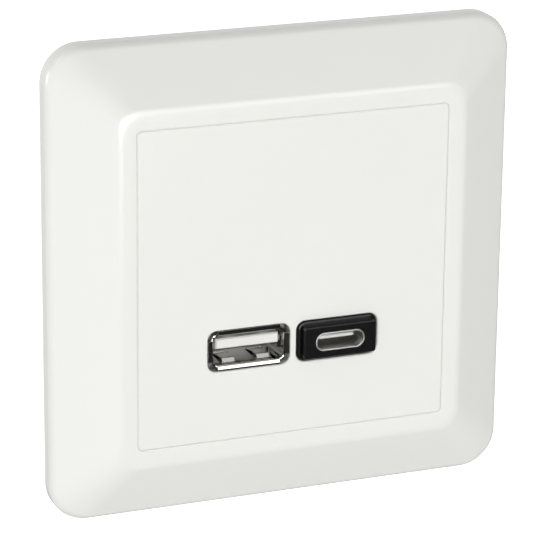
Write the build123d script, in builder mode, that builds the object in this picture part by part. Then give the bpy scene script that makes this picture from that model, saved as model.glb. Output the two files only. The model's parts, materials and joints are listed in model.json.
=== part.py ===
from build123d import *
from math import atan, cos, hypot, sin, tan, pi
import os

# Heights are measured from the wall plane: positive towards the room (-Y), negative into the wall (+Y).

# Wall box and fixing
box_d = 58.0
box_clearance = 0.5
box_screw_pitch = 60.0
box_screw_count = 4
slot_width = 3.6
slot_length = 5.6

# Cover frame
frame_size = 82.0
frame_corner_r = 6.5
frame_h = 9.0
edge_h = 3.2
edge_r = 2.0
edge_steps = 3
rim_width = 3.0
rim_corner_r = 3.6
rim_r = 3.0
rim_steps = 2
rim_inner_edge = 0.2
frame_skin = 2.0
collar_t = 1.6
ledge_t = 2.8
ledge_overlap = 1.9

# Centre plate
plate_size = 55.0
plate_gap = 0.06
plate_corner_r = 0.8
plate_edge = 0.2
plate_skin = 2.0
skirt_t = 1.4
seat_gap = 0.1
leg_t = 1.6
leg_w = 7.0
leg_flex = 1.2
leg_clear = 0.2
leg_z = 14.0
barb = 0.6
barb_drop = 2.4

# Ports on the plate
port_spacing = 15.8
port_z = -11.6
port_hole_w = 14.7
port_hole_h = 7.2
port_hole_r = 1.6
port_hole_edge = 0.2

# Support ring
ring_edge = 1.0
ring_t = 1.2
ring_clear = 0.3

# Charger insert
insert_w = 42.0
insert_z = 39.4
insert_depth = 30.0
insert_r = 4.0
wall = 1.6
flange_reach = 5.6
flange_t = 1.6
lug_t = 3.0
boss_r = 2.9
boss_overlap = 0.4
boss_depth = 8.0
cap_margin = 1.0
cap_window_clear = 0.2
post_size = 3.2
joint_gap = 0.1

# Housing screws
screw_r = 1.2
screw_head_r = 2.2
screw_head_t = 1.5
screw_length = 9.0
screw_clear = 0.2
screw_fit = 0.03
recess_w = 0.7
recess_l = 2.6
recess_depth = 0.8

# Larger port, type A
a_open_w = 12.5
a_open_h = 5.12
a_shell_t = 0.3
a_inner_r = 0.6
a_lip = 0.65
a_lip_depth = 0.28
a_lip_t = 0.36
a_lip_notch = 1.7
a_mouth_drop = 0.05
a_finger_w = 2.2
a_finger_slot = 0.35
a_finger_l = 5.4
a_finger_x = 3.1
a_finger_back = 0.9
a_finger_bump = 0.6
a_finger_crest = (0.6, 0.86)
a_finger_t = 0.25
a_tongue_w = 11.2
a_tongue_t = 1.84
a_tongue_above = 0.72
a_tongue_back = 1.0
a_block_l = 4.2
a_contact_w = 1.0
a_contact_t = 0.25
a_contact_x = (-3.5, -1.0, 1.0, 3.5)
a_contact_bump = 0.7
a_contact_crest = 2.2
a_contact_slope = 1.0

# Smaller port, type C
c_shell_w = 8.94
c_shell_h = 3.26
c_shell_t = 0.3
c_tongue_w = 6.69
c_tongue_t = 0.7
c_tongue_l = 4.4
c_tongue_back = 2.4
c_contact_count = 12
c_contact_pitch = 0.5
c_contact_w = 0.26
c_contact_t = 0.08
c_contact_l = 3.7
c_mouth_proud = 0.05

# Bezel of the smaller port
bezel_gap = 0.1
bezel_r = 1.5
bezel_edge = 0.45
bezel_inset = 0.75
bezel_proud = 1.5
boss_corner_r = 0.4
boss_edge = 0.15
bezel_flange = 0.6
bezel_flange_t = 1.0
bezel_sleeve_t = 0.9
bezel_sleeve_l = 6.5
bezel_bore_clear = 0.05

# Boards
board_t = 1.6
board_gap = 0.6
port_board_depth = 3.0
board_stand = 1.8
power_board_low = -5.0
pin_w = 0.64
pin_clear = 0.1
pin_count = 5
pin_pitch = 2.54
pin_inset = 1.4
pin_end = 0.8
tail_w = 1.6

# Transformer
core_l = 14.4
core_t = 5.0
core_leg = 4.8
core_side = 2.2
core_lift = 0.6
core_wall_gap = 1.2
core_mid_gap = 0.8
bobbin_t = 0.9
bobbin_z = 11.0
bobbin_clear = 0.15
winding_z = 9.8
transformer_z = 8.0

# Parts on the boards: sizes across, up and out from the board
part_gap = 0.4
can_nest = 0.2
bulk_l = 12.5
bulk_drop = 1.5
output_l = 9.0
can_edge = 0.5
fuse_size = (4.0, 5.6, 8.0)
fuse_z = 5.2
fuse_wall_gap = 1.0
interference_size = (13.0, 4.2, 11.0)
rectifier_size = (5.6, 4.0, 2.6)
optocoupler_size = (6.2, 4.0, 3.4)
controller_size = (4.0, 4.6, 1.5)
row_z = -0.2
choke_size = (8.0, 8.0, 3.6)
choke_z = 6.0
port_chip_size = (4.0, 4.0, 0.9)
port_chip_lift = 6.8
chip_edge = 0.3

# Terminals
terminal_z = -11.4
block_mid_gap = 5.4
block_post_gap = 0.5
block_z = 11.0
block_l = 20.0
block_clear = 0.1
block_side = 1.0
block_end = 1.2
entry_r = 1.9
entry_l = 8.5
entry_funnel = 0.5
entry_side = 0.4
lever_share = 0.4
lever_z = 4.8
lever_clear = 0.1
lever_collar = 1.2
lever_collar_t = 0.8
lever_travel = 1.6
lever_stand = 0.2
lever_slot_w = 0.8
lever_edge = 0.3
nose_w = 1.2
nose_gap = 0.25
busbar_t = 1.1
busbar_z = 7.6
busbar_l = 9.6
busbar_tail_w = 3.0
busbar_tail_t = 1.4
spring_t = 0.35
spring_w = 6.0
spring_bend_r = 1.0
spring_foot = 4.0
spring_fold = 2.4
spring_tip = 2.0

# Smallest difference in height that tells two edges apart
edge_tolerance = 0.001

# Derived sizes: frame, plate and ring
opening = plate_size + 2 * plate_gap
rim_size = opening + 2 * rim_width
slope_run = (frame_size - rim_size) / 2
slope = (frame_h - edge_h) / slope_run
tilt = atan(slope)
edge_turn = pi / 2 - tilt
edge_low = edge_h - edge_r * tan(edge_turn / 2)
edge_bends = [edge_turn * i / edge_steps for i in range(edge_steps + 1)]
rim_bends = [tilt * (1 - i / rim_steps) for i in range(rim_steps + 1)]
rim_inset = slope_run + rim_r * tan(tilt / 2)
frame_section = [(edge_r - edge_r * cos(bend), edge_low + edge_r * sin(bend)) for bend in edge_bends]
frame_section += [(rim_inset - rim_r * sin(bend), frame_h - rim_r + rim_r * cos(bend)) for bend in rim_bends]
skin_drop = frame_skin * hypot(1, slope)
hollow_size = frame_size - 2 * frame_skin
hollow_h = edge_h + slope * frame_skin - skin_drop
hollow_cut = frame_corner_r - frame_skin / 2
collar_size = opening + 2 * collar_t
plate_back = frame_h - plate_skin
skirt_inner = plate_size - 2 * skirt_t
ledge_low = ring_t + 4 * joint_gap
ledge_h = ledge_low + ledge_t
ledge_open = plate_size - 2 * ledge_overlap
leg_out = insert_w / 2 + leg_flex + leg_t
leg_x = leg_out - leg_t / 2
ring_size = box_screw_pitch + slot_length + 2 * ring_edge
ring_open_x = 2 * (leg_out + leg_clear)
ring_open_z = insert_z + 2 * ring_clear

# Derived sizes: insert
box_r = box_d / 2 - box_clearance
flange_z = insert_z + 2 * flange_reach
flange_h = ring_t + flange_t
screw_z = insert_z / 2 + boss_r - boss_overlap
screw_spots = [(0, -screw_z), (0, screw_z)]
screw_top = flange_h + screw_head_t
bezel_flange_low = plate_back - joint_gap - bezel_flange_t
cap_top = bezel_flange_low - joint_gap
cap_w = insert_w - 2 * cap_margin
cap_z = insert_z - 2 * cap_margin
inner_w = insert_w - 2 * wall
inner_z = insert_z - 2 * wall
post_x = inner_w / 2 - post_size

# Derived sizes: ports
a_spot = (-port_spacing / 2, port_z)
c_spot = (port_spacing / 2, port_z)
a_mouth = frame_h - a_mouth_drop
a_neck = a_mouth - a_lip_depth
a_outer_w = a_open_w + 2 * a_shell_t
a_outer_h = a_open_h + 2 * a_shell_t
a_outer_r = a_inner_r + a_shell_t
a_wall_x = (a_open_w + a_shell_t) / 2
a_wall_z = (a_open_h + a_shell_t) / 2
a_slot_w = a_finger_w + 2 * a_finger_slot
a_finger_tip = a_neck - a_finger_back
a_finger_root = a_finger_tip - a_finger_l
finger_path = [
    (a_finger_root - 2 * a_finger_t, 0),
    (a_finger_root + a_finger_t, 0),
    (a_finger_root + a_finger_crest[0] * a_finger_l, a_finger_bump),
    (a_finger_root + a_finger_crest[1] * a_finger_l, a_finger_bump),
    (a_finger_tip - a_finger_slot, 0),
]
a_tail_pitch = a_open_h - 2 * a_inner_r - tail_w
a_block_h = a_block_l - port_board_depth
a_tongue_h = a_mouth - a_tongue_back
a_tongue_z = port_z + a_open_h / 2 - a_tongue_above - a_tongue_t / 2
a_groove_w = a_contact_w + joint_gap
a_groove_d = a_contact_t + joint_gap
a_contact_z = a_tongue_z - a_tongue_t / 2 + a_groove_d / 2
a_contact_spots = [(a_spot[0] + x, a_contact_z) for x in a_contact_x]
tail_low = -port_board_depth - board_t - pin_end
contact_path = [
    (tail_low, 0),
    (a_block_h + 4 * a_contact_t, 0),
    (a_tongue_h - a_contact_crest - a_contact_slope, a_contact_bump),
    (a_tongue_h - a_contact_crest, a_contact_bump),
    (a_tongue_h - a_contact_crest + a_contact_slope, 0),
]
bezel_front = frame_h + bezel_proud
bezel_w = port_hole_w - 2 * bezel_gap
bezel_d = port_hole_h - 2 * bezel_gap
sleeve_w = c_shell_w + 2 * bezel_sleeve_t
sleeve_h = c_shell_h + 2 * bezel_sleeve_t
sleeve_low = bezel_flange_low - bezel_sleeve_l
c_mouth = bezel_front + c_mouth_proud
c_inner_w = c_shell_w - 2 * c_shell_t
c_inner_h = c_shell_h - 2 * c_shell_t
c_tongue_h = c_mouth - c_tongue_back
c_base_h = c_tongue_h - c_tongue_l
c_tail_pitch = (c_shell_w - c_shell_h - tail_w, c_shell_h - c_shell_t)

# Derived sizes: boards and the parts on them
port_board_low = -port_board_depth - board_t
port_board_w = inner_w - 2 * board_gap
port_board_z = inner_z - 2 * board_gap
power_board_back = wall + board_stand - insert_depth
power_board_face = power_board_back + board_t
power_board_high = inner_z / 2 - board_gap
power_board_z = power_board_high - power_board_low
power_board_mid = (power_board_high + power_board_low) / 2
board_notch = 2 * (post_size + board_gap)
pin_hole = pin_w + 2 * pin_clear
core_w = inner_w / 2 - core_wall_gap - core_mid_gap
transformer_spot = (-core_mid_gap - core_w / 2, transformer_z)
pin_row = ((board_gap - post_x) / 2, power_board_high - pin_inset)
core_low = power_board_face + core_lift
core_high = core_low + core_l
core_window = (core_w - core_leg) / 2 - core_side
bobbin_low = core_low + core_side + bobbin_clear
bobbin_high = core_high - core_side - bobbin_clear
bobbin_w = core_w - 2 * core_side - 2 * bobbin_clear
bobbin_bore = (core_leg + 2 * bobbin_clear, core_t + 2 * bobbin_clear)
tube = (bobbin_bore[0] + 2 * bobbin_t, bobbin_bore[1] + 2 * bobbin_t)
winding_low = bobbin_low + bobbin_t
winding_high = bobbin_high - bobbin_t
bulk_r = (post_x - can_nest) / 4
bulk_x = part_gap / 2 + bulk_r
bulk_z = inner_z / 2 - bulk_drop - bulk_r
bulk_spots = [(bulk_x, bulk_z), (bulk_x + 2 * bulk_r + part_gap, bulk_z)]
row_top = row_z + controller_size[1] / 2
output_r = (bulk_z - bulk_r - part_gap / 2 - row_top) / 2
output_spot = (bulk_x, row_top + output_r)
fuse_spot = (inner_w / 2 - fuse_wall_gap - fuse_size[0] / 2, fuse_z)
row_gap = (inner_w / 2 - rectifier_size[0] - optocoupler_size[0] - controller_size[0]) / 4
rectifier_x = row_gap + rectifier_size[0] / 2
optocoupler_x = rectifier_x + (rectifier_size[0] + optocoupler_size[0]) / 2 + row_gap
controller_x = optocoupler_x + (optocoupler_size[0] + controller_size[0]) / 2 + row_gap

# Derived sizes: terminals
block_w = post_x - block_post_gap - block_mid_gap / 2
terminal_x = (block_mid_gap + block_w) / 2
cavity_w = block_w - 2 * block_side
cavity_z = block_z - 2 * block_end
block_front = block_l - insert_depth
block_floor = entry_l - insert_depth
entry_x = entry_side + entry_r - cavity_w / 2
lever_w = lever_share * cavity_w
lever_x = cavity_w / 2 - lever_clear - lever_w / 2
lever_stop = block_floor + lever_clear
lever_end = -insert_depth - lever_travel - lever_stand
nose_x = lever_x - (lever_w - nose_w) / 2
busbar_x = entry_x - entry_r / 2 - busbar_t / 2
busbar_low = block_floor + lever_clear
busbar_tail_z = power_board_low + busbar_tail_t
busbar_tail_low = busbar_low + busbar_tail_w / 2
busbar_tail_high = busbar_tail_low + busbar_tail_w
spring_path = [
    (cavity_w / 2 - spring_t / 2 - block_clear, block_front - 2 * spring_t),
    (cavity_w / 2 - spring_t / 2 - block_clear, block_floor + spring_foot),
    (cavity_w / 2 - spring_fold, block_floor + spring_foot),
    (busbar_x + busbar_t / 2 + spring_t, block_front - spring_tip),
]
spring_slope = (spring_path[3][1] - spring_path[2][1]) / (spring_path[2][0] - spring_path[3][0])
nose_edge = nose_x + nose_w / 2
nose_tip = spring_path[2][1] + (spring_path[2][0] - nose_edge) * spring_slope - spring_t - nose_gap


def slab(width, height, low, high, *spots, r=0, mode=Mode.ADD):
    """Blocks between two heights above the wall at the given spots, with rounded corners if r is given."""
    with BuildSketch(Plane.XZ.offset(low)) as faces:
        with Locations(*spots or [(0, 0)]):
            if r:
                RectangleRounded(width, height, r)
            else:
                Rectangle(width, height)
    extrude(faces.sketch, amount=high - low, mode=mode)


def grid(width, height, low, high, pitch, count, spot=(0, 0), mode=Mode.ADD):
    """Blocks in rows and columns round a spot, pitch and count given as (across, up)."""
    with BuildSketch(Plane.XZ.offset(low)) as faces:
        with Locations(spot):
            with GridLocations(*pitch, *count):
                Rectangle(width, height)
    extrude(faces.sketch, amount=high - low, mode=mode)


def oval(width, height, low, high, spot, mode=Mode.ADD):
    """Round-ended block between two heights above the wall."""
    with BuildSketch(Plane.XZ.offset(low)) as face:
        with Locations(spot):
            SlotOverall(width, height)
    extrude(face.sketch, amount=high - low, mode=mode)


def rod(radius, low, high, *spots, mode=Mode.ADD):
    """Cylinders between two heights above the wall."""
    with BuildSketch(Plane.XZ.offset(low)) as faces:
        with Locations(*spots or [(0, 0)]):
            Circle(radius)
    extrude(faces.sketch, amount=high - low, mode=mode)


def rounded(width, height, radius, at, spot):
    """Rounded rectangle at one height above the wall."""
    with BuildSketch(Plane.XZ.offset(at)) as face:
        with Locations(spot):
            RectangleRounded(width, height, radius)
    return face.sketch


def frame_outline(inset):
    """Width, height and corner radius of the cover frame at a distance in from its outer wall."""
    size = frame_size - 2 * inset
    return size, size, frame_corner_r + (rim_corner_r - frame_corner_r) * inset / slope_run


def cut_cornered(size, corner, at):
    """Square with cut corners at one height above the wall."""
    with BuildSketch(Plane.XZ.offset(at)) as face:
        Rectangle(size, size)
        chamfer(face.vertices(), corner)
    return face.sketch


def edges_at(part, height):
    """Edges of a part that lie at one height above the wall."""
    return part.edges().filter_by_position(Axis.Y, -height - edge_tolerance, -height + edge_tolerance)


def strip(plane, path, thickness, width):
    """Bent strip of sheet along a path of (along, across) points, centred on the plane."""
    near = [(along, across - thickness / 2) for along, across in path]
    far = [(along, across + thickness / 2) for along, across in path]
    with BuildSketch(plane) as outline:
        with BuildLine():
            Polyline(*near, *reversed(far), close=True)
        make_face()
    extrude(outline.sketch, amount=width / 2, both=True)


def moulded(size, base, edge, *spots):
    """Box-shaped parts standing on a board, with bevelled tops."""
    with BuildPart() as part:
        slab(size[0], size[1], base, base + size[2], *spots)
        chamfer(edges_at(part, base + size[2]), edge)
    return part


def cans(radius, length, *spots):
    """Round capacitors standing on the power board."""
    with BuildPart() as part:
        rod(radius, power_board_face, power_board_face + length, *spots)
        chamfer(edges_at(part, power_board_face + length), can_edge)
    return part


# Cover frame: rounded outer wall, sloping faces up to a flat rim, hollow behind, inner ledge for the plate
with BuildPart() as cover_frame:
    slab(frame_size, frame_size, 0, edge_low, r=frame_corner_r)
    loft([rounded(*frame_outline(inset), height, (0, 0)) for inset, height in frame_section], ruled=True)
    hollow = cut_cornered(hollow_size, hollow_cut, hollow_h)
    extrude(hollow, amount=-hollow_h, mode=Mode.SUBTRACT)
    loft([hollow, cut_cornered(rim_size, rim_corner_r, frame_h - skin_drop)], ruled=True, mode=Mode.SUBTRACT)
    slab(collar_size, collar_size, ledge_low, frame_h - frame_skin / 2, r=rim_corner_r)
    slab(opening, opening, ledge_h, frame_h, r=plate_corner_r + plate_gap, mode=Mode.SUBTRACT)
    slab(ledge_open, ledge_open, ledge_low, ledge_h, mode=Mode.SUBTRACT)
    mouth_edges = edges_at(cover_frame, frame_h).filter_by_position(Axis.X, -opening / 2, opening / 2)
    chamfer(mouth_edges.filter_by_position(Axis.Z, -opening / 2, opening / 2), rim_inner_edge)

# Centre plate: flush face, skirt resting on the ledge, four barbed legs that snap behind the ring
with BuildPart() as centre_plate:
    slab(plate_size, plate_size, ledge_h + seat_gap, frame_h, r=plate_corner_r)
    chamfer(edges_at(centre_plate, frame_h), plate_edge)
    slab(skirt_inner, skirt_inner, ledge_h + seat_gap, plate_back, mode=Mode.SUBTRACT)
    slab(port_hole_w, port_hole_h, plate_back, frame_h, a_spot, c_spot, r=port_hole_r, mode=Mode.SUBTRACT)
    holes = edges_at(centre_plate, frame_h).filter_by_position(Axis.Z, port_z - port_hole_h, port_z + port_hole_h)
    chamfer(holes.filter_by_position(Axis.X, -port_spacing, port_spacing), port_hole_edge)
    grid(leg_t, leg_w, -joint_gap - barb_drop, plate_back, (2 * leg_x, 2 * leg_z), (2, 2))
    for side in (-1, 1):
        for z in (-leg_z, leg_z):
            with BuildSketch(Plane.XY.offset(z - leg_w / 2)):
                with BuildLine():
                    Polyline(
                        (side * leg_x, joint_gap),
                        (side * (leg_out + leg_clear + barb), joint_gap),
                        (side * leg_x, joint_gap + barb_drop),
                        close=True,
                    )
                make_face()
            extrude(amount=leg_w)

# Support ring: stamped steel square with slots for the wall-box screws
with BuildPart() as support_ring:
    slab(ring_size, ring_size, 0, ring_t, r=frame_corner_r)
    slab(ring_open_x, ring_open_z, 0, ring_t, mode=Mode.SUBTRACT)
    with BuildSketch(Plane.XZ):
        with PolarLocations(box_screw_pitch / 2, box_screw_count):
            SlotOverall(slot_length, slot_width)
    extrude(amount=ring_t, mode=Mode.SUBTRACT)
    rod(screw_r + screw_clear, 0, ring_t, *screw_spots, mode=Mode.SUBTRACT)

# Front cap of the insert: flange on the ring, raised box with a window for each port
with BuildPart() as insert_front:
    slab(insert_w, flange_z, ring_t, flange_h)
    slab(cap_w, cap_z, flange_h, cap_top, r=insert_r)
    chamfer(edges_at(insert_front, cap_top), wall / 2)
    slab(cap_w - 2 * wall, cap_z - 2 * wall, ring_t, cap_top - wall, r=insert_r - wall, mode=Mode.SUBTRACT)
    for width, height, spot in ((a_outer_w, a_outer_h, a_spot), (sleeve_w, sleeve_h, c_spot)):
        window = (width + 2 * cap_window_clear, height + 2 * cap_window_clear)
        slab(*window, cap_top - wall, cap_top, spot, mode=Mode.SUBTRACT)
    rod(screw_r + screw_clear, ring_t, flange_h, *screw_spots, mode=Mode.SUBTRACT)

# Rear housing of the insert: open box with screw lugs, board posts and two windows for the terminals
with BuildPart() as rear_housing:
    slab(insert_w, flange_z, -lug_t, 0)
    rod(box_r, -lug_t, 0, mode=Mode.INTERSECT)
    rod(boss_r, -boss_depth, 0, *screw_spots)
    slab(insert_w, insert_z, -insert_depth, ring_t - joint_gap, r=insert_r)
    chamfer(edges_at(rear_housing, -insert_depth), wall / 2)
    slab(inner_w, inner_z, wall - insert_depth, ring_t, r=insert_r - wall, mode=Mode.SUBTRACT)
    post_pitch = (inner_w - post_size, inner_z - post_size)
    grid(post_size, post_size, wall - insert_depth, port_board_low, post_pitch, (2, 2))
    rest_pitch = (inner_w - 3 * post_size, power_board_z / 2)
    grid(wall, post_size, wall - insert_depth, power_board_back, rest_pitch, (2, 2), (0, power_board_mid))
    grid(
        block_w + 2 * block_clear,
        block_z + 2 * block_clear,
        -insert_depth,
        wall - insert_depth,
        (2 * terminal_x, 0),
        (2, 1),
        (0, terminal_z),
        Mode.SUBTRACT,
    )
    rod(screw_r + screw_fit, -boss_depth, 0, *screw_spots, mode=Mode.SUBTRACT)

# Housing screws
with BuildPart() as housing_screws:
    rod(screw_r, flange_h - screw_length, flange_h, *screw_spots)
    rod(screw_head_r, flange_h, screw_top, *screw_spots)
    slab(recess_l, recess_w, screw_top - recess_depth, screw_top, *screw_spots, mode=Mode.SUBTRACT)
    slab(recess_w, recess_l, screw_top - recess_depth, screw_top, *screw_spots, mode=Mode.SUBTRACT)

# Shell of the larger port: folded tube with four flared lips and six bent-in spring fingers
level_plane = Plane(origin=(0, 0, port_z), x_dir=(0, 1, 0), z_dir=(0, 0, -1))
with BuildPart() as usb_a_shell:
    lip = (a_outer_w + 2 * a_lip, a_outer_h + 2 * a_lip)
    slab(*lip, a_mouth - a_lip_t, a_mouth, a_spot, r=a_outer_r + a_lip)
    notch_pitch = (lip[0] - a_lip_notch, lip[1] - a_lip_notch)
    grid(a_lip_notch, a_lip_notch, a_mouth - a_lip_t, a_mouth, notch_pitch, (2, 2), a_spot, Mode.SUBTRACT)
    slab(a_outer_w, a_outer_h, -port_board_depth, a_neck, a_spot, r=a_outer_r)
    slab(a_open_w, a_open_h, -port_board_depth, a_neck, a_spot, r=a_inner_r, mode=Mode.SUBTRACT)
    throat = rounded(a_open_w, a_open_h, a_inner_r, a_neck, a_spot)
    mouth = rounded(a_open_w + 2 * a_lip, a_open_h + 2 * a_lip, a_inner_r + a_lip, a_mouth, a_spot)
    loft([throat, mouth], ruled=True, mode=Mode.SUBTRACT)
    slot = (a_slot_w, 3 * a_shell_t)
    slot_pitch = (2 * a_finger_x, 2 * a_wall_z)
    grid(*slot, a_finger_root, a_finger_tip, slot_pitch, (2, 2), a_spot, Mode.SUBTRACT)
    grid(*slot[::-1], a_finger_root, a_finger_tip, (2 * a_wall_x, 0), (2, 1), a_spot, Mode.SUBTRACT)
    for side in (-1, 1):
        finger = [(-h, port_z + side * (a_wall_z - rise)) for h, rise in finger_path]
        for x in (a_spot[0] - a_finger_x, a_spot[0] + a_finger_x):
            strip(Plane.YZ.offset(x), finger, a_finger_t, a_finger_w)
        finger = [(-h, a_spot[0] + side * (a_wall_x - rise)) for h, rise in finger_path]
        strip(level_plane, finger, a_finger_t, a_finger_w)
    grid(a_shell_t, tail_w, tail_low, -port_board_depth, (2 * a_wall_x, a_tail_pitch), (2, 2), a_spot)

# Tongue of the larger port, moulded in one with the block behind it
with BuildPart() as usb_a_tongue:
    block = (a_open_w - 2 * joint_gap, a_open_h - 2 * joint_gap)
    slab(*block, -port_board_depth, a_block_h, a_spot, r=a_inner_r)
    slab(a_tongue_w, a_tongue_t, a_block_h, a_tongue_h, (a_spot[0], a_tongue_z))
    chamfer(edges_at(usb_a_tongue, a_tongue_h), a_contact_t)
    groove_end = a_tongue_h - a_tongue_t / 2
    slab(a_groove_w, a_groove_d, -port_board_depth, groove_end, *a_contact_spots, mode=Mode.SUBTRACT)

# Contacts of the larger port
with BuildPart() as usb_a_contacts:
    contact = [(-h, a_contact_z - drop) for h, drop in contact_path]
    for x in a_contact_x:
        strip(Plane.YZ.offset(a_spot[0] + x), contact, a_contact_t, a_contact_w)

# Shell of the smaller port
with BuildPart() as usb_c_shell:
    oval(c_shell_w, c_shell_h, -port_board_depth, c_mouth, c_spot)
    oval(c_inner_w, c_inner_h, -port_board_depth, c_mouth, c_spot, mode=Mode.SUBTRACT)
    grid(tail_w, c_shell_t, tail_low, -port_board_depth, c_tail_pitch, (2, 2), c_spot)

# Tongue of the smaller port with its base
with BuildPart() as usb_c_tongue:
    oval(c_inner_w - joint_gap, c_inner_h - joint_gap, -port_board_depth, c_base_h, c_spot)
    slab(c_tongue_w, c_tongue_t, c_base_h, c_tongue_h, c_spot)
    chamfer(edges_at(usb_c_tongue, c_tongue_h).filter_by(Axis.X), c_tongue_t / 4)

# Contacts of the smaller port
with BuildPart() as usb_c_contacts:
    c_contact_rows = (c_contact_pitch, c_tongue_t + c_contact_t)
    grid(c_contact_w, c_contact_t, c_base_h, c_base_h + c_contact_l, c_contact_rows, (c_contact_count, 2), c_spot)

# Bezel of the smaller port: sleeve and flange behind the plate, bevelled shoulder, boss standing proud
with BuildPart() as usb_c_bezel:
    slab(sleeve_w, sleeve_h, sleeve_low, bezel_flange_low, c_spot, r=bezel_r)
    flange = (port_hole_w + 2 * bezel_flange, port_hole_h + 2 * bezel_flange)
    slab(*flange, bezel_flange_low, bezel_flange_low + bezel_flange_t, c_spot, r=bezel_r)
    slab(bezel_w, bezel_d, bezel_flange_low + bezel_flange_t, frame_h, c_spot, r=bezel_r)
    chamfer(edges_at(usb_c_bezel, frame_h), bezel_edge)
    boss = (bezel_w - 2 * bezel_inset, bezel_d - 2 * bezel_inset)
    slab(*boss, frame_h - bezel_edge, bezel_front, c_spot, r=boss_corner_r)
    chamfer(edges_at(usb_c_bezel, bezel_front), boss_edge)
    bore = (c_shell_w + 2 * bezel_bore_clear, c_shell_h + 2 * bezel_bore_clear)
    oval(*bore, sleeve_low, bezel_front, c_spot, mode=Mode.SUBTRACT)

# Port board, slotted for the ports' tails and the pins
with BuildPart() as port_board:
    board = (port_board_low, -port_board_depth)
    slab(port_board_w, port_board_z, *board)
    chamfer(port_board.edges().filter_by(Axis.Y), insert_r - wall)
    contact_slot = (a_contact_w + 2 * pin_clear, a_contact_t + 2 * pin_clear)
    slab(*contact_slot, *board, *a_contact_spots, mode=Mode.SUBTRACT)
    a_tail_grid = (2 * a_wall_x, a_tail_pitch)
    grid(2 * a_shell_t, tail_w + a_shell_t, *board, a_tail_grid, (2, 2), a_spot, Mode.SUBTRACT)
    grid(tail_w + c_shell_t, 2 * c_shell_t, *board, c_tail_pitch, (2, 2), c_spot, Mode.SUBTRACT)
    grid(pin_hole, pin_hole, *board, (pin_pitch, 0), (pin_count, 1), pin_row, Mode.SUBTRACT)

# Power board, notched round the posts and slotted for the busbars and the pins
with BuildPart() as power_board:
    board = (power_board_back, power_board_face)
    slab(port_board_w, power_board_z, *board, (0, power_board_mid))
    grid(board_notch, board_notch, *board, (inner_w, 0), (2, 1), (0, inner_z / 2), Mode.SUBTRACT)
    busbar_slot = (busbar_t + 2 * block_clear, busbar_tail_t + 2 * block_clear)
    grid(*busbar_slot, *board, (2 * terminal_x, 0), (2, 1), (busbar_x, busbar_tail_z), Mode.SUBTRACT)
    grid(pin_hole, pin_hole, *board, (pin_pitch, 0), (pin_count, 1), pin_row, Mode.SUBTRACT)

# Pins between the boards
with BuildPart() as board_pins:
    pin_ends = (power_board_back - pin_end, pin_end - port_board_depth)
    grid(pin_w, pin_w, *pin_ends, (pin_pitch, 0), (pin_count, 1), pin_row)

# Transformer: three-legged core, bobbin on its middle leg, winding on the bobbin
with BuildPart() as transformer_core:
    slab(core_w, core_t, core_low, core_high, transformer_spot)
    window_pitch = (core_leg + core_window, 0)
    window_ends = (core_low + core_side, core_high - core_side)
    grid(core_window, core_t, *window_ends, window_pitch, (2, 1), transformer_spot, Mode.SUBTRACT)

with BuildPart() as transformer_bobbin:
    slab(*tube, bobbin_low, bobbin_high, transformer_spot)
    slab(bobbin_w, bobbin_z, bobbin_low, winding_low, transformer_spot)
    slab(bobbin_w, bobbin_z, winding_high, bobbin_high, transformer_spot)
    rail = 2 * bobbin_t
    grid(bobbin_w, rail, power_board_face, bobbin_low, (0, bobbin_z - rail), (1, 2), transformer_spot)
    slab(*bobbin_bore, bobbin_low, bobbin_high, transformer_spot, mode=Mode.SUBTRACT)

with BuildPart() as transformer_winding:
    slab(bobbin_w - bobbin_t, winding_z, winding_low, winding_high, transformer_spot)
    slab(*tube, winding_low, winding_high, transformer_spot, mode=Mode.SUBTRACT)

nodes = {
    "cover_frame": cover_frame,
    "centre_plate": centre_plate,
    "support_ring": support_ring,
    "insert_front": insert_front,
    "rear_housing": rear_housing,
    "housing_screws": housing_screws,
    "usb_a_shell": usb_a_shell,
    "usb_a_tongue": usb_a_tongue,
    "usb_a_contacts": usb_a_contacts,
    "usb_c_shell": usb_c_shell,
    "usb_c_tongue": usb_c_tongue,
    "usb_c_contacts": usb_c_contacts,
    "usb_c_bezel": usb_c_bezel,
    "port_board": port_board,
    "power_board": power_board,
    "board_pins": board_pins,
    "transformer_core": transformer_core,
    "transformer_bobbin": transformer_bobbin,
    "transformer_winding": transformer_winding,
    "bulk_capacitors": cans(bulk_r, bulk_l, *bulk_spots),
    "output_capacitor": cans(output_r, output_l, output_spot),
    "fuse": moulded(fuse_size, power_board_face, chip_edge, fuse_spot),
    "interference_capacitor": moulded(interference_size, power_board_face, chip_edge, (transformer_spot[0], row_z)),
    "rectifier": moulded(rectifier_size, power_board_face, chip_edge, (rectifier_x, row_z)),
    "optocoupler": moulded(optocoupler_size, power_board_face, chip_edge, (optocoupler_x, row_z)),
    "switch_controller": moulded(controller_size, power_board_face, chip_edge, (controller_x, row_z)),
    "output_choke": moulded(choke_size, -port_board_depth, 2 * chip_edge, (0, choke_z)),
    "port_controllers": moulded(
        port_chip_size,
        -port_board_depth,
        chip_edge / 2,
        (a_spot[0], port_z + port_chip_lift),
        (c_spot[0], port_z + port_chip_lift),
    ),
}

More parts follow.
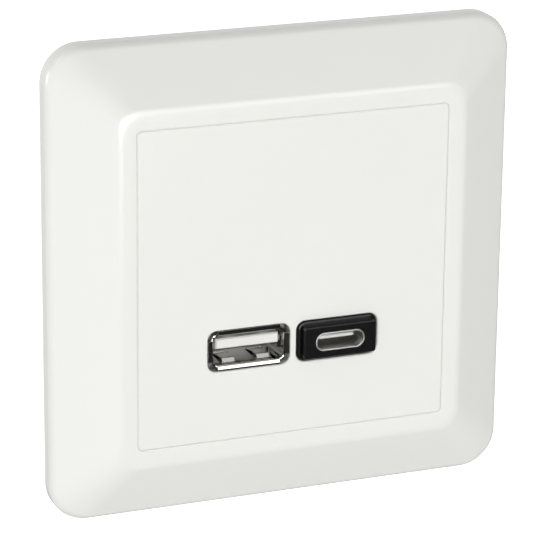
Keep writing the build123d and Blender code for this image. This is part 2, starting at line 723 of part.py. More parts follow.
# Terminals: the same block, busbar, spring and release button for each pole
for pole, terminal_spot in (("line", -terminal_x), ("neutral", terminal_x)):
    entry = (terminal_spot + entry_x, terminal_z)
    lever = (terminal_spot + lever_x, terminal_z)
    bar_x = terminal_spot + busbar_x

    with BuildPart() as terminal_block:
        slab(block_w, block_z, -insert_depth, block_front, (terminal_spot, terminal_z))
        slab(cavity_w, cavity_z, block_floor, block_front, (terminal_spot, terminal_z), mode=Mode.SUBTRACT)
        rod(entry_r, -insert_depth, block_floor, entry, mode=Mode.SUBTRACT)
        lever_hole = (lever_w + 2 * lever_clear, lever_z + 2 * lever_clear)
        slab(*lever_hole, -insert_depth, block_floor, lever, mode=Mode.SUBTRACT)
        tail_slot = (busbar_t + 4 * block_clear, block_z)
        tail_spot = (bar_x, terminal_z + block_z / 2)
        slab(*tail_slot, busbar_tail_low - block_clear, block_front, tail_spot, mode=Mode.SUBTRACT)
        chamfer(edges_at(terminal_block, -insert_depth).filter_by(GeomType.CIRCLE), entry_funnel)

    with BuildPart() as busbar:
        slab(busbar_t, busbar_z, busbar_low, busbar_low + busbar_l, (bar_x, terminal_z))
        arm_end = busbar_tail_z + busbar_tail_t / 2
        arm_spot = (bar_x, (terminal_z + arm_end) / 2)
        slab(busbar_t, arm_end - terminal_z, busbar_tail_low, busbar_tail_high, arm_spot)
        slab(busbar_t, busbar_tail_t, power_board_back - pin_end, busbar_tail_high, (bar_x, busbar_tail_z))

    with BuildPart() as clamp_spring:
        with BuildSketch(Plane.XY.offset(terminal_z)) as outline:
            with BuildLine():
                leaf = FilletPolyline(*[(terminal_spot + x, -h) for x, h in spring_path], radius=spring_bend_r)
            trace(leaf, line_width=spring_t)
        extrude(outline.sketch, amount=spring_w / 2, both=True)

    with BuildPart() as release_button:
        slab(lever_w, lever_z, lever_end, lever_stop, lever)
        chamfer(edges_at(release_button, lever_end), lever_edge)
        slab(lever_w, lever_slot_w, lever_end, lever_end + lever_slot_w, lever, mode=Mode.SUBTRACT)
        slab(lever_w, lever_z + 2 * lever_collar, lever_stop, lever_stop + lever_collar_t, lever)
        slab(nose_w, lever_z, lever_stop + lever_collar_t, nose_tip, (terminal_spot + nose_x, terminal_z))

    nodes["terminal_block_" + pole] = terminal_block
    nodes["busbar_" + pole] = busbar
    nodes["clamp_spring_" + pole] = clamp_spring
    nodes["release_button_" + pole] = release_button

os.makedirs("parts", exist_ok=True)
for name, node in nodes.items():
    node.part.label = name
    export_step(node.part, f"parts/{name}.step")
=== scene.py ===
import json
import math

import bmesh
import bpy
from bpy.props import FloatProperty, FloatVectorProperty, IntProperty, PointerProperty
from bpy.types import Operator, Panel, PropertyGroup
from mathutils import Matrix, Vector


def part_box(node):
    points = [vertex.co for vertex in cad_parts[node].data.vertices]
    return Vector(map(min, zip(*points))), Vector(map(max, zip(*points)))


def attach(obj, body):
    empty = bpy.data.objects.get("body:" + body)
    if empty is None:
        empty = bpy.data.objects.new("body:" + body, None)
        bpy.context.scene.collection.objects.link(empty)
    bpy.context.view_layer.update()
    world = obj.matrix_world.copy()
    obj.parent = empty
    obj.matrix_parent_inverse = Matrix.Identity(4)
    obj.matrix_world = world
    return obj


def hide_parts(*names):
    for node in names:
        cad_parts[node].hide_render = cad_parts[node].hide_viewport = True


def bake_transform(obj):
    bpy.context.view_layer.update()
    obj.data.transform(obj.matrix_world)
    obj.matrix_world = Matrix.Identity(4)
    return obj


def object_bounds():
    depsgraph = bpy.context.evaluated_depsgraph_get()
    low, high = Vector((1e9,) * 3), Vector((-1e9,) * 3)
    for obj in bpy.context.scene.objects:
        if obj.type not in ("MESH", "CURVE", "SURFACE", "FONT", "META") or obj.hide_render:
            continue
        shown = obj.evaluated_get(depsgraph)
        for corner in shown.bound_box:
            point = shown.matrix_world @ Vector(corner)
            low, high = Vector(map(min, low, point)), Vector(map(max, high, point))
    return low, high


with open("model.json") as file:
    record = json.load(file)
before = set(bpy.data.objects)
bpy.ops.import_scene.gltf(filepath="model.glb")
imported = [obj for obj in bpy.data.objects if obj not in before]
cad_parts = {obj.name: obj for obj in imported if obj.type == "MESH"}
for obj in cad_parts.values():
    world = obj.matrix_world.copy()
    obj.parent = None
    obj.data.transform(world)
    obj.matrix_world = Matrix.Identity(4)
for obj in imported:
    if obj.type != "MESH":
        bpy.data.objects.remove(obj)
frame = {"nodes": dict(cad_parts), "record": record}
cad_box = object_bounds()

bl_info = {
    "name": "Charging wall socket",
    "version": (1, 0, 0),
    "blender": (4, 5, 0),
    "location": "View3D > Sidebar > Socket",
    "description": (
        "Dresses a white wall socket with two charging ports and lights it for a product picture"
    ),
    "category": "Object",
}

MM = 0.001
QUARTER_TURN = math.pi / 2
CORNERS = 4

# Clean-up and rounding of meshes
MERGE_DISTANCE = 1e-7
FLAT_ANGLE = math.radians(0.4)
SHARP_ANGLE = math.radians(28)
STEEP_ANGLE = math.radians(80)
FOLD_REACH = 0.01 * MM
FOLD_SEGMENTS = 6
EDGE_SEGMENTS = 2
ROUND_PROFILE = 0.5
NORMAL_WEIGHT = 100

# Rounding of sharp edges, by node
EDGE_ROUNDINGS = {
    "centre_plate": 0.06 * MM,
    "usb_a_shell": 0.05 * MM,
    "usb_a_tongue": 0.08 * MM,
    "usb_c_shell": 0.09 * MM,
    "usb_c_tongue": 0.06 * MM,
    "support_ring": 0.12 * MM,
    "insert_front": 0.15 * MM,
    "rear_housing": 0.15 * MM,
    "housing_screws": 0.08 * MM,
    "terminal_block_line": 0.1 * MM,
    "terminal_block_neutral": 0.1 * MM,
    "release_button_line": 0.15 * MM,
    "release_button_neutral": 0.15 * MM,
}

# Ports and terminals
BEZEL_STEPS = 5
PAD_ROWS = 2
PAD_THICKNESS = 0.08 * MM
# Depths over which the tongues turn darker further into each port: painted shade
WHITE_TONGUE_SHADE_DEPTH = 5 * MM
OVAL_TONGUE_SHADE_DEPTH = 0.3 * MM
POLES = ("line", "neutral")

# Grains across one cloud of colour in moulded plastic
GRAINS_PER_CLOUD = 20

# Socket numbers of the node that mixes two colours
MIX_FACTOR, MIX_FIRST, MIX_SECOND, MIX_RESULT = 0, 6, 7, 2

# Roughness and grain of the parts on the boards, grain in waves per metre
BOARD_PARTS = {
    "transformer_core": (0.6, 1400),
    "transformer_bobbin": (0.5, 1800),
    "transformer_winding": (0.3, 600),
    "bulk_capacitors": (0.35, 800),
    "output_capacitor": (0.35, 800),
    "fuse": (0.4, 1500),
    "interference_capacitor": (0.35, 1200),
    "rectifier": (0.55, 2400),
    "optocoupler": (0.55, 2400),
    "switch_controller": (0.55, 2400),
    "output_choke": (0.6, 1600),
    "port_controllers": (0.55, 2400),
}

# Side and place of each light in metres, and whether bright metal mirrors it
LIGHTS = {
    "front": (0.45, (0, -0.9, 0), True),
    "right": (0.4, (0.32, -0.79, 0.28), True),
    "upper_right": (0.5, (0.29, -0.53, 0.67), True),
    "left": (0.3, (-0.9, 0.1, 0.1), True),
    "upper_left": (0.12, (-0.57, -0.2, 0.66), True),
    "low_left": (1.0, (-0.71, -0.5, -0.5), False),
    "low": (0.8, (0, -0.7, -0.6), False),
}

# Directions between which the surrounding light changes, from front to back and from below to above
BACKDROP_RAMP = (0.0, 0.45)
TABLE_RAMP = (-0.5, 0.1)

# Floor in metres, camera sensor in millimetres
FLOOR_REACH = 20.0
FLOOR_TONES = ((0.93, 0.93, 0.93), (0.95, 0.95, 0.95))
SENSOR_WIDTH = 36

# What the record says of materials and nodes
RECORD_COLOURS = {entry["slot"]: entry["base_color"] for entry in frame["record"]["materials"]}
NODE_SLOTS = {entry["node"]: entry["material_slot"] for entry in frame["record"]["subparts"]}
NODE_BODIES = {
    node: body
    for body, nodes in frame["record"]["behaviour"]["bodies"].items()
    for node in nodes
}


def span(node):
    """Size of a node along each axis, in metres."""
    low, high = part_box(node)
    return high - low


def middle(node):
    """Middle of a node's box."""
    low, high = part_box(node)
    return (low + high) / 2


FRAME_SIZE = span("cover_frame").x
FRAME_HEIGHT = span("cover_frame").y
PLATE_SIZE = span("centre_plate").x
BEZEL_BACK = -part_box("usb_c_bezel")[1].y
BEZEL_FRONT = -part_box("usb_c_bezel")[0].y
BEZEL_FLANGE = span("usb_c_bezel")
SHELL_OVAL = span("usb_c_shell")


class CoverSizes(PropertyGroup):
    """Sizes of the cover frame's section."""

    edge_height: FloatProperty(
        name="Edge height", default=3.2 * MM, unit="LENGTH",
        description="Height of the outer wall before it is rounded",
    )
    edge_radius: FloatProperty(
        name="Edge radius", default=2.0 * MM, unit="LENGTH",
        description="Rounding between outer wall and slope",
    )
    corner_radius: FloatProperty(
        name="Corner radius", default=6.5 * MM, unit="LENGTH",
        description="Rounding of the outer corners",
    )
    rim_width: FloatProperty(
        name="Rim width", default=3.0 * MM, unit="LENGTH",
        description="Width of the flat rim round the plate",
    )
    rim_radius: FloatProperty(
        name="Rim radius", default=3.0 * MM, unit="LENGTH",
        description="Rounding between slope and rim",
    )
    rim_corner_radius: FloatProperty(
        name="Rim corner radius", default=3.6 * MM, unit="LENGTH",
        description="Rounding of the rim's corners",
    )
    mouth_radius: FloatProperty(
        name="Mouth radius", default=0.26 * MM, unit="LENGTH",
        description="Rounding of the rim's inner edge",
    )
    plate_gap: FloatProperty(
        name="Plate gap", default=0.012 * MM, unit="LENGTH",
        description="Gap between plate and rim",
    )
    plate_corner_radius: FloatProperty(
        name="Plate corner radius", default=0.8 * MM, unit="LENGTH",
        description="Rounding of the plate's corners",
    )
    skin: FloatProperty(
        name="Skin", default=2.0 * MM, unit="LENGTH",
        description="Wall thickness of the frame",
    )
    collar: FloatProperty(
        name="Collar", default=1.6 * MM, unit="LENGTH",
        description="Wall thickness round the plate",
    )
    ledge_low: FloatProperty(
        name="Ledge underside", default=1.6 * MM, unit="LENGTH",
        description="Height of the ledge's underside",
    )
    ledge_high: FloatProperty(
        name="Ledge top", default=4.4 * MM, unit="LENGTH",
        description="Height at which the plate rests",
    )
    ledge_reach: FloatProperty(
        name="Ledge reach", default=1.9 * MM, unit="LENGTH",
        description="How far the ledge reaches under the plate",
    )
    corner_steps: IntProperty(
        name="Corner steps", default=24, min=4,
        description="Faces round one corner",
    )
    bend_steps: IntProperty(
        name="Bend steps", default=8, min=2,
        description="Faces across one rounded edge",
    )


class PortSizes(PropertyGroup):
    """Sizes of both ports, of the pins and of the clamp springs."""

    bezel_width: FloatProperty(
        name="Bezel width", default=14.5 * MM, unit="LENGTH",
        description="Width of the bezel in the plate's hole",
    )
    bezel_depth: FloatProperty(
        name="Bezel depth", default=7.0 * MM, unit="LENGTH",
        description="Height of the bezel in the plate's hole",
    )
    bezel_corner: FloatProperty(
        name="Bezel corner", default=1.5 * MM, unit="LENGTH",
        description="Rounding of the bezel's corners",
    )
    shoulder: FloatProperty(
        name="Shoulder", default=0.45 * MM, unit="LENGTH",
        description="Rounding of the bezel's shoulder",
    )
    boss_inset: FloatProperty(
        name="Boss inset", default=0.75 * MM, unit="LENGTH",
        description="How far the boss stands in from the bezel",
    )
    boss_corner: FloatProperty(
        name="Boss corner", default=0.4 * MM, unit="LENGTH",
        description="Rounding of the boss's corners",
    )
    boss_edge: FloatProperty(
        name="Boss edge", default=0.15 * MM, unit="LENGTH",
        description="Rounding of the boss's front edge",
    )
    flange_thickness: FloatProperty(
        name="Flange thickness", default=1.0 * MM, unit="LENGTH",
        description="Flange behind the plate",
    )
    flange_front: FloatProperty(
        name="Flange front", default=6.9 * MM, unit="LENGTH",
        description="Height of the flange's front face",
    )
    sleeve_wall: FloatProperty(
        name="Sleeve wall", default=0.9 * MM, unit="LENGTH",
        description="Wall of the sleeve round the oval shell",
    )
    bore_clearance: FloatProperty(
        name="Bore clearance", default=0.05 * MM, unit="LENGTH",
        description="Gap between shell and bezel",
    )
    pads_per_row: IntProperty(
        name="Pads", default=12, min=1,
        description="Contacts in each row of the smaller port",
    )
    pad_width: FloatProperty(
        name="Pad width", default=0.26 * MM, unit="LENGTH",
        description="Width of one contact pad",
    )
    pin_count: IntProperty(
        name="Pins", default=5, min=1,
        description="Pins between the boards",
    )
    lip_depth: FloatProperty(
        name="Lip depth", default=0.28 * MM, unit="LENGTH",
        description="Depth of the larger port's flared lips",
    )
    lip_bend: FloatProperty(
        name="Lip bend", default=0.28 * MM, unit="LENGTH",
        description="Rounding where the lips leave the tube",
    )
    leaf_thickness: FloatProperty(
        name="Leaf thickness", default=0.35 * MM, unit="LENGTH",
        description="Sheet of the clamp springs",
    )
    nose_width: FloatProperty(
        name="Nose width", default=1.2 * MM, unit="LENGTH",
        description="Width of the nose that bends the spring",
    )
    bend_cuts: IntProperty(
        name="Bend cuts", default=9, min=2,
        description="Cuts across the spring where it bends",
    )


class SocketFinish(PropertyGroup):
    """Colours of the parts that are in view."""

    white: FloatVectorProperty(
        name="White", default=(0.86, 0.866, 0.825), subtype="COLOR",
        description="Gloss plastic of frame and plate",
    )
    gloss: FloatProperty(
        name="Gloss", default=0.2, subtype="FACTOR", min=0, max=1,
        description="Roughness of the white plastic",
    )
    nickel: FloatVectorProperty(
        name="Nickel", default=(0.74, 0.73, 0.70), subtype="COLOR",
        description="Plating of the port shells",
    )
    black: FloatVectorProperty(
        name="Black", default=(0.006, 0.006, 0.0062), subtype="COLOR",
        description="Plastic of the bezel",
    )
    tongue: FloatVectorProperty(
        name="Tongue", default=(0.80, 0.80, 0.77), subtype="COLOR",
        description="White insulator in the larger port",
    )
    gold: FloatVectorProperty(
        name="Gold", default=(0.80, 0.60, 0.28), subtype="COLOR",
        description="Contact springs of the larger port",
    )
    pale_gold: FloatVectorProperty(
        name="Pale gold", default=(0.74, 0.68, 0.55), subtype="COLOR",
        description="Contact pads of the smaller port",
    )


class StageSettings(PropertyGroup):
    """Camera, lights and floor."""

    azimuth: FloatProperty(
        name="Azimuth", default=math.radians(-21.55), subtype="ANGLE",
        description="Camera's turn from the front",
    )
    elevation: FloatProperty(
        name="Elevation", default=math.radians(18.3), subtype="ANGLE",
        description="Camera's angle above level",
    )
    roll: FloatProperty(
        name="Roll", default=math.radians(0.6), subtype="ANGLE",
        description="Camera's tilt",
    )
    distance: FloatProperty(
        name="Distance", default=507 * MM, unit="LENGTH",
        description="From camera to the point it looks at",
    )
    target: FloatVectorProperty(
        name="Target", default=(-0.8 * MM, 0, -1.5 * MM), subtype="TRANSLATION",
        description="Point in the middle of the picture",
    )
    lens: FloatProperty(
        name="Lens", default=200, unit="CAMERA",
        description="Focal length in millimetres",
    )
    backdrop: FloatProperty(
        name="Backdrop", default=0.95,
        description="Even light from behind the socket",
    )
    room: FloatProperty(
        name="Room", default=0.04,
        description="Even light from the room in front of it",
    )
    table: FloatProperty(
        name="Table", default=0.45, subtype="FACTOR", min=0, max=1,
        description="Share of that light that comes from below",
    )
    front: FloatProperty(
        name="Front", default=4.6, unit="POWER",
        description="Power of the light before the socket, in watts",
    )
    right: FloatProperty(
        name="Right", default=1.5, unit="POWER",
        description="Power of the light at the front right, in watts",
    )
    upper_right: FloatProperty(
        name="Upper right", default=0.5, unit="POWER",
        description="Power of the light at the upper right, in watts",
    )
    left: FloatProperty(
        name="Left", default=3.1, unit="POWER",
        description="Power of the light at the left, in watts",
    )
    upper_left: FloatProperty(
        name="Upper left", default=0.7, unit="POWER",
        description="Power of the light at the upper left, in watts",
    )
    low_left: FloatProperty(
        name="Low left", default=1.9, unit="POWER",
        description="Power of the light at the lower left, in watts",
    )
    low: FloatProperty(
        name="Low", default=2.4, unit="POWER",
        description="Power of the light below the front, in watts",
    )
    floor_drop: FloatProperty(
        name="Floor drop", default=1.0, unit="LENGTH",
        description="Height of the socket above the floor",
    )


class Term:
    """A value in a node tree that Python expressions can use."""

    def __init__(self, sheet, socket):
        self.sheet = sheet
        self.socket = socket

    def join(self, operation, first, second):
        return self.sheet.add("ShaderNodeMath", {"operation": operation}, {0: first, 1: second})

    def __add__(self, other):
        return self.join("ADD", self, other)

    def __radd__(self, other):
        return self.join("ADD", other, self)

    def __sub__(self, other):
        return self.join("SUBTRACT", self, other)

    def __rsub__(self, other):
        return self.join("SUBTRACT", other, self)

    def __mul__(self, other):
        return self.join("MULTIPLY", self, other)

    def __rmul__(self, other):
        return self.join("MULTIPLY", other, self)

    def __truediv__(self, other):
        return self.join("DIVIDE", self, other)

    def __rtruediv__(self, other):
        return self.join("DIVIDE", other, self)

    def __mod__(self, other):
        return self.join("FLOORED_MODULO", self, other)

    def __rmod__(self, other):
        return self.join("FLOORED_MODULO", other, self)

    def __floordiv__(self, other):
        return self.sheet.add("ShaderNodeMath", {"operation": "FLOOR"}, {0: self / other})

    def __rfloordiv__(self, other):
        return self.sheet.add("ShaderNodeMath", {"operation": "FLOOR"}, {0: other / self})


class NodeSheet:
    """A node tree that is filled by one method."""

    def __init__(self, tree):
        self.tree = tree
        self.tree.nodes.clear()

    def add(self, kind, settings=None, sockets=None, output=0):
        """Adds a node: settings first, then values or links of its sockets. Returns one output."""
        node = self.tree.nodes.new(kind)
        for name, value in (settings or {}).items():
            setattr(node, name, value)
        for name, value in (sockets or {}).items():
            if isinstance(value, Term):
                self.tree.links.new(value.socket, node.inputs[name])
            else:
                node.inputs[name].default_value = value
        return Term(self, node.outputs[output]) if node.outputs else node


class Finish(NodeSheet):
    """A procedural material made of one shader and the patterns that vary it."""

    def __init__(self, name, **constants):
        self.material = bpy.data.materials.new(name)
        self.material.use_nodes = True
        super().__init__(self.material.node_tree)
        self.constants = constants
        self.place = self.add("ShaderNodeTexCoord", output="Object")

    def stretched(self, scale):
        """Object coordinates, stretched along each axis."""
        return self.add("ShaderNodeMapping", {}, {"Vector": self.place, "Scale": scale})

    def noise(self, scale, detail=2.0, place=None):
        """Soft mottling between 0 and 1, scale given in waves per metre."""
        sockets = {"Vector": place or self.place, "Scale": scale, "Detail": detail}
        return self.add("ShaderNodeTexNoise", {}, sockets)

    def cells(self, scale):
        """A flat random tone for each grain."""
        sockets = {"Vector": self.place, "Scale": scale}
        colour = self.add("ShaderNodeTexVoronoi", {}, sockets, "Color")
        return self.add("ShaderNodeSeparateColor", {}, {"Color": colour})

    def blend(self, factor, first, second):
        """Mix of two colours."""
        sockets = {MIX_FACTOR: factor, MIX_FIRST: (*first, 1), MIX_SECOND: (*second, 1)}
        return self.add("ShaderNodeMix", {"data_type": "RGBA"}, sockets, MIX_RESULT)

    def mottled(self, pattern, colour, darker, lighter):
        """A colour that a pattern makes darker and lighter by shares of itself."""
        return self.blend(pattern, tint(colour, -darker), tint(colour, lighter))

    def about(self, value, reach, pattern):
        """A value that a pattern varies by the same reach to both sides."""
        return value - reach + 2 * reach * pattern

    def bump(self, height, strength, depth):
        """Surface relief, depth in metres."""
        sockets = {"Height": height, "Strength": strength, "Distance": depth}
        return self.add("ShaderNodeBump", {}, sockets)

    def done(self, **varying):
        """Joins the patterns to the shader and returns the material."""
        shader = self.add("ShaderNodeBsdfPrincipled", {}, {**self.constants, **varying})
        self.add("ShaderNodeOutputMaterial", {}, {"Surface": shader})
        return self.material


def tint(colour, share):
    """A colour made lighter or darker by a share of itself."""
    return tuple(min(1.0, channel * (1 + share)) for channel in colour)


def gloss_white(name, colour, roughness):
    """Moulded gloss plastic: faint mottling, soft sheen, slight waviness."""
    finish = Finish(name, IOR=1.5)
    mottle = finish.noise(70, detail=3)
    wave = finish.noise(160, detail=1)
    return finish.done(**{
        "Base Color": finish.mottled(mottle, colour, darker=0.006, lighter=0.006),
        "Roughness": finish.about(roughness, 0.03, finish.noise(220)),
        "Normal": finish.bump(wave, strength=0.04, depth=0.05 * MM),
    })


def plated(name, colour, roughness=0.08):
    """Plated sheet steel: bright, with fine drawing marks along its depth."""
    finish = Finish(name, Metallic=1.0)
    marks = finish.noise(900, detail=3, place=finish.stretched((6.0, 0.4, 6.0)))
    clouds = finish.noise(500)
    return finish.done(**{
        "Base Color": finish.mottled(clouds, colour, darker=0.08, lighter=0.06),
        "Roughness": finish.about(roughness, 0.04, marks),
        "Normal": finish.bump(marks, strength=0.08, depth=0.02 * MM),
    })


def satin(name, colour, roughness=0.45, grain=2500.0, relief=0.15):
    """Plastic from an eroded mould: fine even grain."""
    finish = Finish(name, IOR=1.48)
    grains = finish.noise(grain)
    clouds = finish.noise(grain / GRAINS_PER_CLOUD)
    return finish.done(**{
        "Base Color": finish.mottled(clouds, colour, darker=0.05, lighter=0.05),
        "Roughness": finish.about(roughness, 0.06, grains),
        "Normal": finish.bump(grains, strength=relief, depth=0.02 * MM),
    })


def insulator_with_painted_shade(name, colour, edge, front, depth):
    """Insulator in its edge colour at the front that turns to a darker colour further in: the
    darkening is painted shade of the deep port.
    """
    finish = Finish(name, IOR=1.48)
    grains = finish.noise(2500)
    # Mask from the front edge inwards that paints shade onto the inner part
    inward = finish.add("ShaderNodeSeparateXYZ", {}, {"Vector": finish.place}, "Y")
    shade_ramp = {"Value": inward, "From Min": front + depth / 2, "From Max": front + depth}
    body = finish.add("ShaderNodeMapRange", {"interpolation_type": "SMOOTHSTEP"}, shade_ramp)
    return finish.done(**{
        "Base Color": finish.blend(body, edge, colour),
        "Roughness": finish.about(0.4, 0.06, grains),
        "Normal": finish.bump(grains, strength=0.15, depth=0.02 * MM),
    })


def zinc_steel(name, colour, grain):
    """Zinc-coated steel with a pattern of crystal grains."""
    finish = Finish(name, Metallic=1.0)
    spangle = finish.cells(grain)
    return finish.done(**{
        "Base Color": finish.mottled(spangle, colour, darker=0.14, lighter=0.1),
        "Roughness": finish.about(0.4, 0.08, spangle),
        "Normal": finish.bump(finish.noise(1200), strength=0.06, depth=0.02 * MM),
    })


def bare_metal(name, colour, roughness=0.3):
    """Drawn or stamped metal with clouded tarnish."""
    finish = Finish(name, Metallic=1.0)
    clouds = finish.noise(420, detail=3)
    return finish.done(**{
        "Base Color": finish.mottled(clouds, colour, darker=0.2, lighter=0.08),
        "Roughness": finish.about(roughness, 0.08, clouds),
        "Normal": finish.bump(finish.noise(2600), strength=0.05, depth=0.01 * MM),
    })


def laminate(name, colour):
    """Circuit board: solder mask over weave and conductor tracks."""
    finish = Finish(name, IOR=1.5)
    weave = finish.noise(2400, detail=1, place=finish.stretched((1.0, 1.0, 0.25)))
    track_share = 0.7
    mask = finish.cells(260) * track_share + weave * (1 - track_share)
    return finish.done(**{
        "Base Color": finish.mottled(mask, colour, darker=0.3, lighter=0.3),
        "Roughness": finish.about(0.4, 0.1, weave),
        "Normal": finish.bump(mask, strength=0.1, depth=0.03 * MM),
    })


def named_input(tree, name, kind):
    """Adds an input to a geometry tree and returns its identifier."""
    return tree.interface.new_socket(name=name, in_out="INPUT", socket_type=kind).identifier


def new_geometry_tree(name, inputs):
    """Geometry tree with named inputs. Returns its sheet, input terms and their identifiers."""
    tree = bpy.data.node_groups.new(name, "GeometryNodeTree")
    identifiers = {label: named_input(tree, label, kind) for label, kind in inputs.items()}
    tree.interface.new_socket(
        name="Geometry", in_out="OUTPUT", socket_type="NodeSocketGeometry"
    )
    sheet = NodeSheet(tree)
    entry = tree.nodes.new("NodeGroupInput")
    terms = {label: Term(sheet, entry.outputs[label]) for label in inputs}
    return sheet, terms, identifiers


def close_tree(sheet, geometry, finish):
    """Ends a geometry tree in realized instances with one material."""
    solid = sheet.add("GeometryNodeRealizeInstances", {}, {"Geometry": geometry})
    sockets = {"Geometry": solid, "Material": finish}
    painted = sheet.add("GeometryNodeSetMaterial", {}, sockets)
    sheet.add("NodeGroupOutput", {"is_active_output": True}, {"Geometry": painted})


def ring_tree():
    """Tree that skins a closed section round a rounded rectangle.

    Each point of the input mesh is one station of the section, with its half width, half depth,
    corner radius and height above the wall as attributes. Its corners are round, or cut straight
    where cut is 1.
    """
    sheet, given, identifiers = new_geometry_tree("skinned_section", {
        "Section": "NodeSocketGeometry",
        "Corner Steps": "NodeSocketInt",
        "Centre": "NodeSocketVector",
        "Finish": "NodeSocketMaterial",
    })
    section = {"Geometry": given["Section"]}
    stations = sheet.add("GeometryNodeAttributeDomainSize", {"component": "MESH"}, section)
    steps = given["Corner Steps"]
    columns = CORNERS * (steps + 1)
    sides = {"Vertices X": columns + 1, "Vertices Y": stations + 1}
    grid = sheet.add("GeometryNodeMeshGrid", {}, sides)
    index = sheet.add("GeometryNodeInputIndex")
    row = (index % (stations + 1)) % stations
    column = (index // (stations + 1)) % columns
    corner = column // (steps + 1)
    share = (column % (steps + 1)) / steps
    turn = (corner + share) * QUARTER_TURN
    diagonal = (corner + 0.5) * QUARTER_TURN

    def station(label):
        settings = {"data_type": "FLOAT"}
        value = sheet.add("GeometryNodeInputNamedAttribute", settings, {"Name": label})
        sockets = {**section, "Value": value, "Index": row}
        return sheet.add("GeometryNodeSampleIndex", {**settings, "domain": "POINT"}, sockets)

    def wave(operation, angle):
        return sheet.add("ShaderNodeMath", {"operation": operation}, {0: angle})

    def bend(operation):
        arc = wave(operation, turn)
        first = wave(operation, corner * QUARTER_TURN)
        last = wave(operation, (corner + 1) * QUARTER_TURN)
        chord = first * (1 - share) + last * share
        return arc + (chord - arc) * station("cut")

    radius = station("radius")

    def outline(label, operation):
        centre = (station(label) - radius) * math.sqrt(2) * wave(operation, diagonal)
        return centre + radius * bend(operation)

    point = sheet.add("ShaderNodeCombineXYZ", {}, {
        "X": outline("half_width", "COSINE"),
        "Y": 0 - station("height"),
        "Z": outline("half_depth", "SINE"),
    })
    places = {0: point, 1: given["Centre"]}
    placed = sheet.add("ShaderNodeVectorMath", {"operation": "ADD"}, places)
    skin = sheet.add("GeometryNodeSetPosition", {}, {"Geometry": grid, "Position": placed})
    merging = {"Geometry": skin, "Distance": MERGE_DISTANCE}
    closed = sheet.add("GeometryNodeMergeByDistance", {}, merging)
    shading = {"Geometry": closed, "Shade Smooth": True}
    close_tree(sheet, sheet.add("GeometryNodeSetShadeSmooth", {}, shading), given["Finish"])
    return sheet.tree, identifiers


def rows_tree():
    """Tree that sets equal blocks in rows, such as contact pads and pins."""
    sheet, given, identifiers = new_geometry_tree("blocks_in_rows", {
        "Count": "NodeSocketInt",
        "Pitch": "NodeSocketFloat",
        "Rows": "NodeSocketInt",
        "Row Gap": "NodeSocketFloat",
        "Block": "NodeSocketVector",
        "Centre": "NodeSocketVector",
        "Finish": "NodeSocketMaterial",
    })
    count = given["Count"]
    rows = given["Rows"]
    line = sheet.add("GeometryNodeMeshLine", {}, {"Count": count * rows})
    index = sheet.add("GeometryNodeInputIndex")
    across = (index % count - (count - 1) / 2) * given["Pitch"]
    upward = (index // count - (rows - 1) / 2) * given["Row Gap"]
    spot = sheet.add("ShaderNodeCombineXYZ", {}, {"X": across, "Y": 0.0, "Z": upward})
    places = {0: spot, 1: given["Centre"]}
    centred = sheet.add("ShaderNodeVectorMath", {"operation": "ADD"}, places)
    spread = sheet.add("GeometryNodeSetPosition", {}, {"Geometry": line, "Position": centred})
    block = sheet.add("GeometryNodeMeshCube", {}, {"Size": given["Block"]})
    setting = {"Points": spread, "Instance": block}
    close_tree(sheet, sheet.add("GeometryNodeInstanceOnPoints", {}, setting), given["Finish"])
    return sheet.tree, identifiers


def grown(name, mesh, tree_and_identifiers, values):
    """Object whose mesh is what a geometry tree makes of the given mesh and values."""
    tree, identifiers = tree_and_identifiers
    piece = bpy.data.objects.new(name, mesh)
    modifier = piece.modifiers.new("shape", "NODES")
    modifier.node_group = tree
    for label, value in values.items():
        modifier[identifiers[label]] = value
    bpy.context.scene.collection.objects.link(piece)
    return settled(piece)


def settled(piece):
    """Turns a piece and its modifiers into one plain mesh."""
    bpy.context.view_layer.update()
    evaluated = piece.evaluated_get(bpy.context.evaluated_depsgraph_get())
    mesh = bpy.data.meshes.new_from_object(evaluated)
    piece.modifiers.clear()
    piece.data = mesh
    mesh.name = piece.name
    return piece


def mark_sharp(mesh, angle):
    """Smooth shading with sharp edges where faces meet at more than the given angle."""
    work = bmesh.new()
    work.from_mesh(mesh)
    for face in work.faces:
        face.smooth = True
    for edge in work.edges:
        edge.smooth = len(edge.link_faces) == 2 and edge.calc_face_angle() < angle
    work.to_mesh(mesh)
    work.free()


def weigh_normals(piece):
    """Keeps large faces flat beside rounded edges."""
    modifier = piece.modifiers.new("weighing", "WEIGHTED_NORMAL")
    modifier.keep_sharp = True
    modifier.weight = NORMAL_WEIGHT
    return settled(piece)


def skinned(name, stations, centre, steps, finish):
    """Solid of a closed section of (half width, half depth, radius, height, cut) stations."""
    mesh = bpy.data.meshes.new(name + "_section")
    mesh.from_pydata([(0, 0, 0)] * len(stations), [], [])
    labels = ("half_width", "half_depth", "radius", "height", "cut")
    for label, values in zip(labels, zip(*stations)):
        mesh.attributes.new(label, "FLOAT", "POINT").data.foreach_set("value", values)
    values = {"Corner Steps": steps, "Centre": centre, "Finish": finish}
    piece = grown(name, mesh, ring_tree(), values)
    work = bmesh.new()
    work.from_mesh(piece.data)
    bmesh.ops.recalc_face_normals(work, faces=work.faces)
    work.to_mesh(piece.data)
    work.free()
    mark_sharp(piece.data, SHARP_ANGLE)
    return weigh_normals(piece)


def round_fold(work, depth, width):
    """Rounds the slanted edges of a mesh that lie at one depth."""
    edges = [
        edge for edge in work.edges
        if all(abs(corner.co.y - depth) < FOLD_REACH for corner in edge.verts)
        and SHARP_ANGLE < edge.calc_face_angle(0) < STEEP_ANGLE
    ]
    bmesh.ops.bevel(
        work, geom=edges, offset=width, segments=FOLD_SEGMENTS,
        profile=ROUND_PROFILE, affect="EDGES", clamp_overlap=True,
    )


